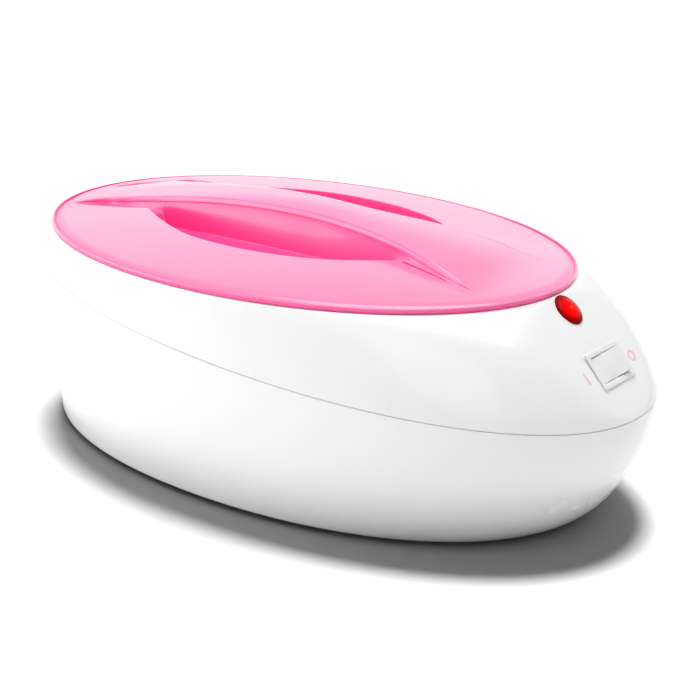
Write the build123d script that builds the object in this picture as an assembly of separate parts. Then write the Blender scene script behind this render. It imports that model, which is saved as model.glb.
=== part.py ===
from build123d import *
from math import copysign, cos, pi, radians, sin, sqrt
import os

# A home paraffin bath: an oval two-shell housing, a heated tank hung in its rim, a lift-off lid,
# and a sloped nose with an indicator lamp and a rocker switch. Millimetres.
# While a piece is built, x and y are measured from the lid's centre and z from the table.
# +X points to the nose. save() moves each piece so that x = 0 is the middle of the housing.

os.makedirs("parts", exist_ok=True)

# ------------------------------------------------------------------ driving dimensions
foot_height = 2.0
wall = 2.6

# lower housing: egg-shaped, level underside, tilted seam. Reaches are from the lid's centre.
base_front, base_rear, base_side, base_power = 176.0, 166.3, 102.5, 2.085
seam_front, seam_rear, seam_side, seam_power = 212.4, 170.4, 115.0, 2.078
seam_height = 88.6
seam_fall = 0.102
nose_round = 1.652
seam_gap = 0.35
floor_thick = 3.0
section_count = 10

# upper housing: from the seam in to the rim that the lid covers
rim_a, rim_b, rim_power = 163.0, 110.8, 2.019
rim_height = 118.2
shoulder_front, shoulder_rear, shoulder_side = 1.37, 1.66, 1.13
land_gap = 0.4
land_thick = 4.3
seat_depth = 1.8
seat_inset = 7.0
mouth_inset = 17.0

# sloped control panel, an arc seen from the side
panel_bottom = (212.8, 67.0)
panel_middle = (194.5, 89.0)
panel_top = (163.2, 118.2)

# tank
sheet = 1.0
tank_draft = 12.0
tank_floor = 40.0
tank_corner = 20.0
gasket_thick = 1.0

# lid
lid_wall = 2.4
lid_edge = 2.6
dome_rise = 9.5
skirt_drop = 9.0
skirt_inset = 2.5
skirt_thick = 1.8
pocket_floor = 115.0
pocket_wall = 2.0
pocket_inner = 25.0
pocket_lip = [(-84.5, 34), (-63, 46.3), (-30, 59), (0, 62.2), (30, 58.8), (64, 45), (86, 26)]
strap_outline = [(-141, 39), (-115, 27), (-70, 23.9), (-10, 22.8), (40, 20.2), (80, 23), (110, 26.5), (137, 30)]
strap_arch = [(-147, 119), (-115, 125.7), (-85, 131.1), (-40, 137.9), (5, 141.6), (50, 138.6),
              (86, 134.0), (106, 130.2), (121, 126.6), (137, 123.2), (150, 119.5)]

# rocker switch
bezel_x, bezel_y, bezel_thick = 29.0, 19.8, 1.1
case_x, case_y, case_depth = 26.0, 17.0, 20.0
key_x, key_y = 23.3, 13.3
key_gap = 0.3
pivot_height = -1.0
pivot_radius = 1.5
pivot_clearance = 0.05
key_tilt = 11.0
switch_slope = 49.3
switch_lift = 0.35

# indicator lamp
lamp_distance = 9.6
lens_long, lens_wide, lens_proud = 8.7, 7.5, 2.6

# heater stack, from the tank floor down
plate_thick = 1.6
element_radius = 3.2
pad_top, pad_bottom = 30.8, 25.3
shield_thick = 0.8
bar_thick = 1.5

element_half_x, element_half_y = 94.0, 40.0
element_end_y = 9.0
clip_places = [(x, side) for x in (-46, 0, 46) for side in (-1, 1)]
stud_x, stud_y = 60.0, 22.0
thermostat_x = 22.0
fuse_x = -30.0

# supports
post_x, post_y = 111.0, 69.0
foot_x, foot_y, foot_radius = 122.0, 44.0, 8.0
screw_seat = 12.0

# supply side
gland_z = 24.0
gland_bore = 3.4
block_x = -128.0
lead_radius = 1.3
thin_lead_radius = 0.9

lid_x = (seam_rear - seam_front) / 2
quadrants = [(1, 1), (1, -1), (-1, 1), (-1, -1)]


# ------------------------------------------------------------------ helpers
def save(name, shape):
    """Writes one piece in the object's own frame."""
    moved = Pos(lid_x, 0, 0) * shape
    export_step(moved, f"parts/{name}.step")


def egg(front, rear, side, power, height, fall=0.0):
    """A planar face: two half superellipses that share their widest line."""
    count = 36
    points = []
    for step in range(count):
        angle = 2 * pi * step / count
        along, across = cos(angle), sin(angle)
        reach = front if along > 0 else rear
        x = copysign(reach * abs(along) ** (2 / power), along)
        y = copysign(side * abs(across) ** (2 / power), across)
        points.append((x, y, height - fall * x))
    return Face(Wire([Spline(points, periodic=True)]))


def mix(start, end, share):
    return start + (end - start) * share


def lower_form(inset=0.0):
    """The lower housing's outer form, or the same form inset all round."""
    faces = []
    for step in range(section_count):
        w = (step / (section_count - 1)) ** 1.5
        nose = (1 - (1 - w) ** nose_round) ** (1 / nose_round)
        faces.append(egg(
            mix(base_front, seam_front, nose) - inset,
            mix(base_rear, seam_rear, w) - inset,
            mix(base_side, seam_side, w) - inset,
            mix(base_power, seam_power, w),
            foot_height + w * (seam_height - seam_gap - foot_height),
            w * seam_fall,
        ))
    return Solid.make_loft([face.outer_wire() for face in faces])


def upper_form(inset=0.0):
    """The upper housing's outer form, or the same form inset all round."""
    faces = []
    for step in range(section_count):
        w = 1 - (1 - step / (section_count - 1)) ** 1.5

        def roll(power):
            return 1 - (1 - w ** power) ** (1 / power)
        faces.append(egg(
            mix(seam_front, rim_a, roll(shoulder_front)) - inset,
            mix(seam_rear, rim_a, roll(shoulder_rear)) - inset,
            mix(seam_side, rim_b, roll(shoulder_side)) - inset,
            mix(seam_power, rim_power, w),
            mix(seam_height, rim_height - land_gap, w),
            (1 - w) * seam_fall,
        ))
    return Solid.make_loft([face.outer_wire() for face in faces])


def slab(low, high):
    """A wide block between two heights."""
    return Pos(0, 0, (low + high) / 2) * Box(600, 400, high - low)


def oval_plate(a, b, low, high):
    return Pos(0, 0, low) * extrude(Ellipse(a, b), high - low)


def oval_ring(a, b, width, low, high):
    return oval_plate(a, b, low, high) - oval_plate(a - width, b - width, low - 1, high + 1)


def rod(radius, low, high, x=0.0, y=0.0):
    return Pos(x, y, (low + high) / 2) * Cylinder(radius, high - low)


def tube_along(points, radii, radius):
    """A round tube along straight runs joined by tangent arcs."""
    path = FilletPolyline(*points, radius=radii)
    section = Plane(origin=path @ 0, z_dir=path % 0) * Circle(radius)
    return sweep(section, path=path)


def panel_cutter(inset=0.0):
    """What is removed in front of the panel's arc, or of the arc inset by a wall."""
    arc = ThreePointArc(panel_bottom, panel_middle, panel_top)
    centre = arc.arc_center
    drum = Pos(centre.X, 0, centre.Y) * Rot(90, 0, 0) * Cylinder(arc.radius - inset, 400)
    block = Pos(190, 0, 95) * Box(120, 300, 80)
    return block - drum


def panel_plane(distance):
    """A plane on the panel's arc, a distance down from its top: x across, y up the slope."""
    arc = ThreePointArc(panel_top, panel_middle, panel_bottom)
    share = distance / arc.length
    spot, run = arc @ share, arc % share
    return Plane(origin=(spot.X, 0, spot.Y), x_dir=(0, 1, 0), z_dir=(-run.Y, 0, run.X))


slope = radians(switch_slope)
switch_plane = Plane(
    origin=(panel_middle[0] + switch_lift * sin(slope), 0, panel_middle[1] + switch_lift * cos(slope)),
    x_dir=(0, 1, 0),
    z_dir=(sin(slope), 0, cos(slope)),
)
lamp_plane = panel_plane(lamp_distance)
post_places = [(sx * post_x, sy * post_y) for sx, sy in quadrants]
foot_places = [(sx * foot_x, sy * foot_y) for sx, sy in quadrants]
stud_places = [(sx * stud_x, sy * stud_y) for sx, sy in quadrants]
land_top = rim_height - land_gap
land_under = land_top - land_thick
mouth_a, mouth_b = rim_a - mouth_inset, rim_b - mouth_inset
seat_z = land_top - seat_depth
flange_low = seat_z + gasket_thick
flange_high = flange_low + sheet
floor_top = foot_height + floor_thick
plate_low = tank_floor - plate_thick
shield_low = pad_bottom - shield_thick
bar_low = shield_low - bar_thick
element_z = plate_low - element_radius - 0.05
fuse_z = plate_low - 2.4
block_low = floor_top + 1.0
block_wire_z = block_low + 3.5
lead_z = floor_top + 2.2


# ------------------------------------------------------------------ housings
def lower_housing():
    shell = lower_form() - (lower_form(wall) & slab(floor_top, 200))
    for x, y in post_places:
        shell += rod(5.5, floor_top - 1, bar_low, x, y)
        shell -= rod(4.0, foot_height - 1, screw_seat, x, y)
        shell -= rod(2.1, screw_seat - 1, bar_low + 1, x, y)
    for x, y in foot_places:
        shell -= rod(foot_radius + 0.2, foot_height - 1, foot_height + 1.4, x, y)
    gland_hole = Pos(-base_rear, 0, gland_z) * Rot(0, 90, 0) * Cylinder(6.2, 16)
    block_pad = Pos(block_x, 0, floor_top) * Box(26, 20, 2)
    return shell - gland_hole + block_pad


def upper_housing():
    outer = upper_form() - panel_cutter()
    inner = upper_form(wall) - panel_cutter(wall)
    shell = outer - (inner & slab(0, land_under))
    shell -= oval_plate(mouth_a + 0.6, mouth_b + 0.6, land_under - 5, rim_height + 5)
    shell -= oval_plate(rim_a - seat_inset, rim_b - seat_inset, seat_z, rim_height + 5)
    for x, y in post_places:
        shell += rod(4.5, shield_low, land_under + 0.5, x, y)
        shell -= rod(1.75, shield_low - 1, 42, x, y)
    shell -= switch_plane * Box(case_x + 0.6, case_y + 0.6, 16)
    shell -= lamp_plane * extrude(Ellipse(lens_wide - 0.9, lens_long - 0.9), 7, both=True)
    return shell + seam_tongue()


def seam_tongue():
    """The rib inside the seam that locates one housing in the other."""
    def ring(outer_inset, inner_inset, low, high):
        def prism(inset):
            faces = [egg(seam_front - inset, seam_rear - inset, seam_side - inset, seam_power,
                         seam_height + level, seam_fall) for level in (low, high)]
            return Solid.make_loft([face.outer_wire() for face in faces], ruled=True)
        return prism(outer_inset) - prism(inner_inset)
    below = ring(wall + 0.9, wall + 2.1, -4.0, 1.5)
    above = ring(wall - 0.6, wall + 2.1, 0.3, 2.5)
    return below + above


# ------------------------------------------------------------------ tank and heater
def tank_cup(inset, low, corner):
    """The tank's bowl: an oval with draft and a round bottom corner."""
    top = Pos(0, 0, flange_high) * Ellipse(mouth_a - inset, mouth_b - inset)
    bottom = Pos(0, 0, low) * Ellipse(mouth_a - inset - tank_draft, mouth_b - inset - tank_draft)
    cup = loft([bottom.face(), top.face()])
    lowest = cup.edges().sort_by(Axis.Z)[0]
    return fillet(lowest, corner)


def wax_tank():
    flange = oval_plate(rim_a - seat_inset - 0.4, rim_b - seat_inset - 0.4, flange_low, flange_high)
    bowl = tank_cup(0, tank_floor, tank_corner)
    hollow = tank_cup(sheet, tank_floor + sheet, tank_corner - sheet)
    return flange + bowl - hollow


def tank_gasket():
    return oval_ring(rim_a - seat_inset - 0.8, rim_b - seat_inset - 0.8, 6.0, seat_z, flange_low)


def heater_element():
    x, y, z, end = element_half_x, element_half_y, element_z, element_end_y
    tail = 20.0
    near = [(x, -end, tail), (x, -end, z), (x, -y, z), (-x, -y, z)]
    far = [(-x, y, z), (x, y, z), (x, end, z), (x, end, tail)]
    return tube_along(near + far, [7, 28, 38, 38, 28, 7], element_radius)


def heater_plate():
    plate = oval_plate(112, 58, plate_low, tank_floor)
    for x, y in stud_places:
        plate -= rod(2.2, plate_low - 1, tank_floor + 1, x, y)
    return plate


def heater_clips():
    """Saddles that hold the element up against the plate."""
    clips = []
    for x, side in clip_places:
        hoop = Cylinder(element_radius + 0.9, 8) - Cylinder(element_radius + 0.05, 9)
        saddle = (Rot(0, 90, 0) * hoop) & Pos(0, 0, -10) * Box(30, 30, 20 + 2 * element_radius)
        for wing in (-1, 1):
            saddle += Pos(0, wing * (element_radius + 3.2), element_radius - 0.45) * Box(8, 5.4, 0.9)
        clips.append(Pos(x, side * element_half_y, element_z) * saddle)
    return Compound(clips)


def heater_studs():
    return Compound([rod(2.0, plate_low - 5.0, tank_floor, x, y) for x, y in stud_places])


def heater_nuts():
    nuts = []
    for x, y in stud_places:
        blank = Pos(x, y, plate_low - 3.2) * extrude(RegularPolygon(4.0, 6), 3.2)
        nuts.append(blank - rod(2.05, plate_low - 5, plate_low + 1, x, y))
    return Compound(nuts)


def insulation_blanket():
    """Glass-fibre wrap round the tank's side."""
    def sleeve(grow):
        faces = []
        for z in (50.0, 98.0):
            share = (flange_high - z) / (flange_high - tank_floor)
            inset = tank_draft * share - grow
            faces.append((Pos(0, 0, z) * Ellipse(mouth_a - inset, mouth_b - inset)).face())
        return loft(faces)
    return sleeve(3.1) - sleeve(0.1) - tank_cup(-0.1, tank_floor - 0.1, tank_corner)


def insulation_pad():
    pad = oval_plate(115, 61, pad_bottom, pad_top)
    pad -= Pos(thermostat_x, 0, pad_bottom) * extrude(SlotOverall(60, 28), 20, both=True)
    pad -= Pos(fuse_x, 0, pad_bottom) * extrude(SlotOverall(40, 14), 20, both=True)
    pad -= Pos(element_half_x, 0, pad_bottom) * extrude(Rectangle(14, 30), 20, both=True)
    return pad


def heat_shield():
    """A shallow reflecting tray under the pad."""
    tray = oval_plate(118, 64, shield_low, shield_low + 12)
    tray -= oval_plate(118 - shield_thick, 64 - shield_thick, pad_bottom, shield_low + 13)
    tray -= Pos(element_half_x, 0, shield_low) * extrude(Rectangle(13, 28), 5, both=True)
    tray -= Pos(thermostat_x, 0, shield_low) * extrude(SlotOverall(30, 12), 5, both=True)
    return tray


def support_bars():
    """Two steel straps clamped between the housings' posts: they press the heater stack up."""
    bars = []
    for x in (-post_x, post_x):
        bar = Pos(x, 0, bar_low) * extrude(SlotOverall(2 * post_y + 12, 12, rotation=90), bar_thick)
        for y in (-post_y, post_y):
            bar -= rod(2.2, bar_low - 1, bar_low + 3, x, y)
        bars.append(bar)
    return Compound(bars)


def thermostat():
    """A bimetal disc thermostat on the heater plate, with two flat terminals."""
    body = rod(9.6, plate_low - 2.0, plate_low, thermostat_x)
    body += rod(8.0, plate_low - 10.0, plate_low - 1, thermostat_x)
    for side in (-1, 1):
        body += Pos(thermostat_x + side * 11.0, 0, plate_low - 8.2) * Box(12, 6.3, 0.8)
    return body


def thermal_fuse():
    body = Pos(fuse_x, 0, fuse_z) * Rot(0, 90, 0) * Cylinder(2.0, 12)
    for side in (-1, 1):
        body += Pos(fuse_x + side * 10, 0, fuse_z) * Rot(0, 90, 0) * Cylinder(0.5, 10)
    return body


def fuse_clip():
    saddle = Pos(fuse_x, 0, fuse_z) * Rot(0, 90, 0) * (Cylinder(2.9, 6) - Cylinder(2.05, 8))
    saddle = saddle & slab(0, plate_low)
    for side in (-1, 1):
        saddle += Pos(fuse_x, side * 5.0, plate_low - 0.4) * Box(6, 6.4, 0.8)
    return saddle


# ------------------------------------------------------------------ lid
def dome(lower=0.0):
    """Everything under the lid's dome, which is a ball stretched along x."""
    radius = (rim_b ** 2 + dome_rise ** 2) / (2 * dome_rise)
    top = rim_height + lid_edge + dome_rise - lower
    ball = scale(Rot(0, 90, 0) * Sphere(radius), by=(rim_a / rim_b, 1, 1))
    return Pos(0, 0, top - radius) * ball


def strap(inset=0.0):
    """The carrying strap: waisted in plan and arched from the side."""
    near = [(x, -(y - inset)) for x, y in strap_outline]
    far = [(x, y - inset) for x, y in reversed(strap_outline)]
    plan = make_face(Curve() + [
        Spline(near), Line(near[-1], far[0]), Spline(far), Line(far[-1], near[0]),
    ])
    top = [(x, z - inset) for x, z in strap_arch]
    low = rim_height - 1
    side = make_face(Curve() + [
        Spline(top), Polyline(top[-1], (top[-1][0], low), (top[0][0], low), top[0]),
    ])
    column = extrude(plan, 200)
    arch = Rot(90, 0, 0) * extrude(side, 60, both=True)
    return column & arch


def pocket(grow, low, side):
    """A finger pocket beside the strap: straight along the strap, and curved at its lip."""
    inner = side * (pocket_inner - grow)
    lip = [(x + copysign(grow, x), side * (y + grow)) for x, y in pocket_lip]
    left, right = lip[0], lip[-1]
    face = make_face(Curve() + [
        Spline(lip), Polyline(right, (right[0], inner), (left[0], inner), left),
    ])
    return Pos(0, 0, low) * extrude(face, 60)


def lid():
    column = oval_plate(rim_a, rim_b, pocket_floor - 4, 150) & dome()
    above = slab(rim_height, 200)
    outer = (column & above) + (strap() & above)
    inner_column = oval_plate(rim_a - 4, rim_b - 4, 100, 150) & dome(lid_wall)
    inner = inner_column + (strap(lid_wall) & slab(100, 200))
    skirt_a, skirt_b = mouth_a - skirt_inset, mouth_b - skirt_inset
    body = outer - (inner - oval_ring(skirt_a, skirt_b, skirt_thick, 90, 150))
    body += oval_ring(skirt_a, skirt_b, skirt_thick, rim_height - skirt_drop, rim_height + 4) & inner_column
    roof = column + (strap() & slab(pocket_floor - 4, 200))
    for side in (-1, 1):
        body += pocket(pocket_wall, pocket_floor - pocket_wall, side) & roof
    for side in (-1, 1):
        body -= pocket(0.0, pocket_floor, side)
    return body


# ------------------------------------------------------------------ lamp
def lamp_lens():
    cap_radius = (lens_long ** 2 + lens_proud ** 2) / (2 * lens_proud)
    ball = Pos(0, 0, lens_proud - cap_radius) * Sphere(cap_radius)
    cap = scale(ball, by=(lens_wide / lens_long, 1, 1)) & Pos(0, 0, 10.1) * Box(40, 40, 20)
    plug = Pos(0, 0, -7) * extrude(Ellipse(lens_wide - 1.1, lens_long - 1.1), 7.3)
    hollow = Pos(0, 0, -8) * extrude(Ellipse(lens_wide - 2.6, lens_long - 2.6), 7)
    return lamp_plane * (cap + plug - hollow)


def lamp_holder():
    """The tube pushed over the lens plug from inside, with the bulb's seat at its end."""
    sleeve = Pos(0, 0, -18) * extrude(Ellipse(lens_wide + 0.1, lens_long - 0.1), 12.6)
    bore = Pos(0, 0, -16.5) * extrude(Ellipse(lens_wide - 1.0, lens_long - 1.0), 14)
    seat = Pos(0, 0, -19) * extrude(Circle(3.2), 4)
    return lamp_plane * (sleeve - bore - seat)


def lamp_bulb():
    glass = Pos(0, 0, -18) * extrude(Circle(3.0), 11)
    tip = Pos(0, 0, -7) * Sphere(3.0)
    return lamp_plane * (glass + tip)


def lamp_resistor():
    return lamp_plane * (Pos(0, 0, -25) * extrude(Circle(1.4), 6.8))


# ------------------------------------------------------------------ switch
def switch_body():
    bezel = extrude(RectangleRounded(bezel_x, bezel_y, 1.4), bezel_thick)
    case = Pos(0, 0, -case_depth) * extrude(Rectangle(case_x, case_y), case_depth)
    cavity = Pos(0, 0, -13) * extrude(Rectangle(key_x + 2 * key_gap, key_y + 2 * key_gap), 20)
    pivot = Pos(0, 0, pivot_height) * Rot(90, 0, 0) * Cylinder(pivot_radius + pivot_clearance, key_y + 3.0)
    return switch_plane * (bezel + case - cavity - pivot)


def switch_rocker():
    """The key at ON: its -Y end is pressed in."""
    reach = key_x / 2
    tip_z = 2.0
    tip_x = sqrt(reach ** 2 - (tip_z - pivot_height) ** 2)
    low_z = -6.0
    low_x = sqrt(reach ** 2 - (low_z - pivot_height) ** 2)
    right = ThreePointArc((tip_x, tip_z), (reach, pivot_height), (low_x, low_z))
    left = ThreePointArc((-low_x, low_z), (-reach, pivot_height), (-tip_x, tip_z))
    hollow = ThreePointArc((-tip_x, tip_z), (0, 1.1), (tip_x, tip_z))
    profile = make_face(Curve() + [hollow, right, Line((low_x, low_z), (-low_x, low_z)), left])
    key = Rot(90, 0, 0) * extrude(profile, key_y / 2, both=True)
    key += Pos(0, 0, pivot_height) * Rot(90, 0, 0) * Cylinder(pivot_radius, key_y + 2.4)
    key += Pos(0, 0, -7.5) * Box(4, 6, 5)
    return switch_plane * Pos(0, 0, pivot_height) * Rot(0, -key_tilt, 0) * Pos(0, 0, -pivot_height) * key


def switch_terminals():
    blades = [Pos(x, 0, -case_depth - 4) * Box(0.8, 6.3, 8) for x in (-8, 0, 8)]
    return switch_plane * Compound(blades)


# ------------------------------------------------------------------ supply side
def cord_gland():
    """Strain relief bush in the rear wall: round flange outside, clip ring inside, plain bore."""
    rear = -base_rear - 1.1
    body = Pos(rear + 3.0, 0, gland_z) * Rot(0, 90, 0) * Cylinder(6.0, 10)
    body += Pos(rear - 1.6, 0, gland_z) * Rot(0, 90, 0) * Cylinder(8.2, 2.2)
    body += Pos(rear + 6.0, 0, gland_z) * Rot(0, 90, 0) * Cylinder(7.2, 2.0)
    return body - Pos(rear, 0, gland_z) * Rot(0, 90, 0) * Cylinder(gland_bore, 30)


def terminal_block():
    body = Pos(block_x, 0, block_low + 5) * Box(22, 17, 10)
    for y in (-4.25, 4.25):
        body -= rod(2.0, block_low + 6, block_low + 12, block_x, y)
        body -= Pos(block_x, y, block_wire_z) * Rot(0, 90, 0) * Cylinder(1.6, 30)
    return body


def terminal_screws():
    screws = []
    for y in (-4.25, 4.25):
        screw = rod(1.9, block_low + 6, block_low + 9, block_x, y)
        screws.append(screw - Pos(block_x, y, block_low + 9) * Box(4, 0.7, 1.6))
    return Compound(screws)


def blade_end(place):
    """Where a lead meets the switch blade at that place along the case, just clear of its end."""
    spot = switch_plane.from_local_coords((place, 0, -case_depth - 9.0))
    return spot.X, spot.Y, spot.Z


def lead_supply():
    """From the live terminal along the floor to the first switch blade."""
    start = [(block_x + 5, -4.25, block_wire_z), (-98, -4.25, block_wire_z)]
    floor = [(-70, -12, lead_z), (-10, -15, lead_z), (60, -12, lead_z), (120, -9, lead_z + 1)]
    rise = [(152, -8, 30), blade_end(-8)]
    return tube_along(start + floor + rise, [20, 30, 60, 60, 30, 14], lead_radius)


def lead_switched():
    """From the middle switch blade down to one end of the element."""
    x, y = element_half_x, element_end_y
    route = [blade_end(0), (158, 1, 34), (132, 4, 13), (108, y, 9.5), (x, y, 12), (x, y, 19.8)]
    return tube_along(route, [14, 12, 4, 3], lead_radius)


def lead_return():
    """From the other end of the element back to the neutral terminal."""
    x, y = element_half_x, element_end_y
    drop = [(x, -y, 19.8), (x, -y, 11)]
    floor = [(86, -2, lead_z), (40, 7, lead_z), (-30, 9, lead_z), (-84, 7, lead_z)]
    end = [(-105, 4.25, block_wire_z), (block_x + 5, 4.25, block_wire_z)]
    return tube_along(drop + floor + end, [3, 8, 40, 60, 30, 12], lead_radius)


def lead_lamp():
    """From the third switch blade up to the lamp's resistor."""
    x, y, z = blade_end(8)
    end = lamp_plane.from_local_coords((0, 0, -25.8))
    route = [(x, y, z), (x - 6, y + 2, z - 5), (end.X - 7, 6, end.Z - 9), (end.X, end.Y, end.Z)]
    return tube_along(route, [2.5, 3], thin_lead_radius)


def feet():
    pads = []
    for x, y in foot_places:
        pad = rod(foot_radius, 0, foot_height + 1.3, x, y)
        pads.append(chamfer(pad.edges().sort_by(Axis.Z)[0], 0.6))
    return Compound(pads)


def housing_screws():
    screws = []
    for x, y in post_places:
        head = rod(3.5, screw_seat - 2.4, screw_seat, x, y)
        shank = rod(1.7, screw_seat - 0.5, 36, x, y)
        slot = Pos(x, y, screw_seat - 2.4) * (Box(4.6, 0.9, 2) + Box(0.9, 4.6, 2))
        screws.append(head + shank - slot)
    return Compound(screws)


# ------------------------------------------------------------------ write the pieces
pieces = {
    "lower_housing": lower_housing,
    "upper_housing": upper_housing,
    "wax_tank": wax_tank,
    "tank_gasket": tank_gasket,
    "heater_plate": heater_plate,
    "heater_element": heater_element,
    "heater_clips": heater_clips,
    "heater_studs": heater_studs,
    "heater_nuts": heater_nuts,
    "insulation_blanket": insulation_blanket,
    "insulation_pad": insulation_pad,
    "heat_shield": heat_shield,
    "support_bars": support_bars,
    "thermostat": thermostat,
    "thermal_fuse": thermal_fuse,
    "fuse_clip": fuse_clip,
    "lid": lid,
    "lamp_lens": lamp_lens,
    "lamp_holder": lamp_holder,
    "lamp_bulb": lamp_bulb,
    "lamp_resistor": lamp_resistor,
    "switch_body": switch_body,
    "switch_rocker": switch_rocker,
    "switch_terminals": switch_terminals,
    "cord_gland": cord_gland,
    "terminal_block": terminal_block,
    "terminal_screws": terminal_screws,
    "lead_supply": lead_supply,
    "lead_switched": lead_switched,
    "lead_return": lead_return,
    "lead_lamp": lead_lamp,
    "feet": feet,
    "housing_screws": housing_screws,
}
for name, build in pieces.items():
    save(name, build())
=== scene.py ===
import math

import bmesh
import bpy
import numpy as np
from mathutils import Matrix, Vector


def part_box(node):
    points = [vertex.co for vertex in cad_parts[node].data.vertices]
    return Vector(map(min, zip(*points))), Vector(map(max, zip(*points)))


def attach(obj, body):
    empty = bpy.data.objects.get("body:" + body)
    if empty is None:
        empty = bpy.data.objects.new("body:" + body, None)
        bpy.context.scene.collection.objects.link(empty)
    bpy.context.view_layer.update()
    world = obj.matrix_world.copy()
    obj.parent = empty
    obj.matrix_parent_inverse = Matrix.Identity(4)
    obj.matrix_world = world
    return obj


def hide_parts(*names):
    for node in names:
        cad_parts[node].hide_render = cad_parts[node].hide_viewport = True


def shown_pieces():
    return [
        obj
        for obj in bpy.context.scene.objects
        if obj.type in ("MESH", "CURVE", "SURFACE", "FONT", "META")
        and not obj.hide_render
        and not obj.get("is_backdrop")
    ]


# The looks of a home paraffin bath. Shapes are worked out in millimetres from the lid's centre,
# with z from the table, and mesh_from() puts them in the shared frame in metres.

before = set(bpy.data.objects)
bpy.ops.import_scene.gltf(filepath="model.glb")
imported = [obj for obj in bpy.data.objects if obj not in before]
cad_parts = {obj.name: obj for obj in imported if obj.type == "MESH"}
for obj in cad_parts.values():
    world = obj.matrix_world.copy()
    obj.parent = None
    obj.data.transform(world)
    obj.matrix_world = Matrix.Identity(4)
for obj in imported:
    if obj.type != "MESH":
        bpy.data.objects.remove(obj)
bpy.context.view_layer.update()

MM = 0.001
lid_low, lid_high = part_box("lid")
LID_X = (lid_low.x + lid_high.x) / 2

# ------------------------------------------------------------------ sizes shared with the CAD
FOOT = 2.0
WALL = 2.6
BASE = (176.0, 166.3, 102.5, 2.085)
SEAM = (212.4, 170.4, 115.0, 2.078)
SEAM_HEIGHT, SEAM_FALL, SEAM_GAP = 88.6, 0.102, 0.35
NOSE_ROUND = 1.652
FLOOR_TOP = 5.0
RIM = (163.0, 110.8, 2.019)
SHOULDER = (1.37, 1.66, 1.13)
LAND_TOP, LAND_UNDER, SEAT = 117.8, 113.5, 116.0
SEAT_INSET, MOUTH_INSET = 7.0, 17.0
PANEL = ((212.8, 67.0), (194.5, 89.0), (163.2, 118.2))
PANEL_ONLY = 60.0
POSTS = [(sx * 111.0, sy * 69.0) for sx in (1, -1) for sy in (1, -1)]
POST_TOP, POST_GAP = 22.9, 1.6
FEET = [(sx * 122.0, sy * 44.0) for sx in (1, -1) for sy in (1, -1)]
FOOT_SEAT = (8.2, 1.4)
GLAND = (6.2, 24.0)

RIM_HEIGHT, LID_EDGE, DOME_RISE = 118.2, 2.6, 9.5
DOME_EDGE = 119.9
DOME_INSET = 1.7
SKIRT_DROP, SKIRT_INSET, SKIRT_THICK = 9.0, 2.5, 1.8
POCKET_FLOOR = 115.0

SWITCH_SLOPE = math.radians(49.3)
SWITCH_LIFT = 0.35
BEZEL = (29.0, 19.8, 1.1)
CASE = (26.0, 17.0, 20.0)
KEY = (23.3, 13.3)
KEY_GAP = 0.6
PIN_RADIUS = 1.45
PIVOT = -1.0
KEY_TILT = math.radians(11.0)
LAMP_DOWN = 9.6
MARK_DOWN, MARK_REACH = 0.8, 21.5
MARK_LEVELS = (-0.25, 0.05)
BAR, RING = (1.3, 6.4), (3.0, 1.9)
LENS = (7.5, 8.7, 2.6)

AROUND = 360


# ------------------------------------------------------------------ mesh helpers
def mesh_from(name, points, faces):
    """A mesh object from points in mm about the lid's centre."""
    moved = np.asarray(points, float) * MM + np.array([LID_X, 0, 0])
    mesh = bpy.data.meshes.new(name)
    mesh.from_pydata(moved.tolist(), [], faces)
    mesh.validate()
    piece = bpy.data.objects.new(name, mesh)
    bpy.context.scene.collection.objects.link(piece)
    return piece


def loft(name, rings, closed=True):
    """A skin through rings with equal counts. The first and last rings are capped."""
    count = len(rings[0])
    points = np.concatenate(rings)
    faces = []
    for r in range(len(rings) - 1):
        for i in range(count):
            j = (i + 1) % count
            a, b = r * count, (r + 1) * count
            faces.append((a + i, a + j, b + j, b + i))
    if closed:
        last = (len(rings) - 1) * count
        faces.append(tuple(range(count - 1, -1, -1)))
        faces.append(tuple(range(last, last + count)))
    return mesh_from(name, points, faces)


def tidy(piece, angle=35.0):
    """Outward normals, smooth faces, and sharp edges above an angle."""
    work = bmesh.new()
    work.from_mesh(piece.data)
    bmesh.ops.remove_doubles(work, verts=work.verts, dist=1e-7)
    bmesh.ops.recalc_face_normals(work, faces=work.faces)
    for face in work.faces:
        face.smooth = True
    for edge in work.edges:
        if len(edge.link_faces) == 2:
            edge.smooth = edge.calc_face_angle(0) < math.radians(angle)
    work.to_mesh(piece.data)
    work.free()
    return piece


def combine(piece, other, operation):
    """Cuts, joins or intersects, then drops the second piece."""
    modifier = piece.modifiers.new(operation, "BOOLEAN")
    modifier.operation = operation
    modifier.solver = "EXACT"
    modifier.object = other
    graph = bpy.context.evaluated_depsgraph_get()
    made = bpy.data.meshes.new_from_object(piece.evaluated_get(graph))
    piece.modifiers.clear()
    old = piece.data
    piece.data = made
    bpy.data.meshes.remove(old)
    bpy.data.objects.remove(other)
    return piece


def merge(piece, others):
    """Adds other pieces' meshes to this one as further loose parts."""
    work = bmesh.new()
    work.from_mesh(piece.data)
    for other in others:
        work.from_mesh(other.data)
        bpy.data.objects.remove(other)
    work.to_mesh(piece.data)
    work.free()
    return piece


def oval(a, b, z, count=AROUND, centre=(0.0, 0.0)):
    """A level ellipse of points."""
    angle = np.linspace(0, 2 * math.pi, count, endpoint=False)
    return np.stack([centre[0] + a * np.cos(angle), centre[1] + b * np.sin(angle),
                     np.full(count, float(z))], 1)


def turned(name, profile, x=0.0, y=0.0, count=48):
    """A body of revolution about an upright axis, from (radius, height) pairs."""
    return loft(name, [oval(r, r, z, count, (x, y)) for r, z in profile])


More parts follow.
